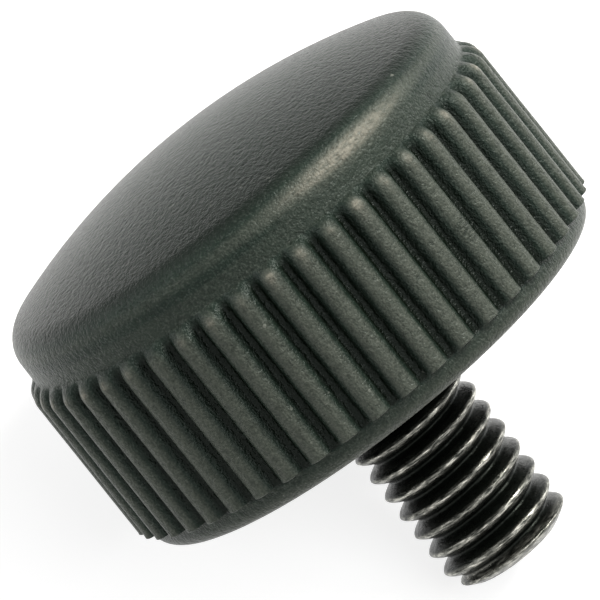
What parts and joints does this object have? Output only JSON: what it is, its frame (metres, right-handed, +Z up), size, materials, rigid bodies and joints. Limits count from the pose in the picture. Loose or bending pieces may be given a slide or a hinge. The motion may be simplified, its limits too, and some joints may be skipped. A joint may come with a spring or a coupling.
{
  "type": "knurled knob with threaded stud",
  "caption": "Round clamping knob with a fluted moulded plastic grip, a low domed top and a threaded steel stud on its axis.",
  "frame": {"origin": "centre of the head's flat underside, where the stud leaves it", "axes": "the knob lies at rest on its rounded lower edge and the stud's tip: +Z up from the table, dome towards -X and up, stud towards +X and down, axis in the XZ plane, +Y across the head"},
  "size_m": [0.0237, 0.0234, 0.0232],
  "materials": {
    "head_plastic": "fine-grained matte black-grey moulding",
    "stud_steel": "black-finished steel, semi-gloss"
  },
  "bodies": {
    "root": {"knob_head": "head_plastic", "threaded_stud": "stud_steel"}
  },
  "joints": []
}
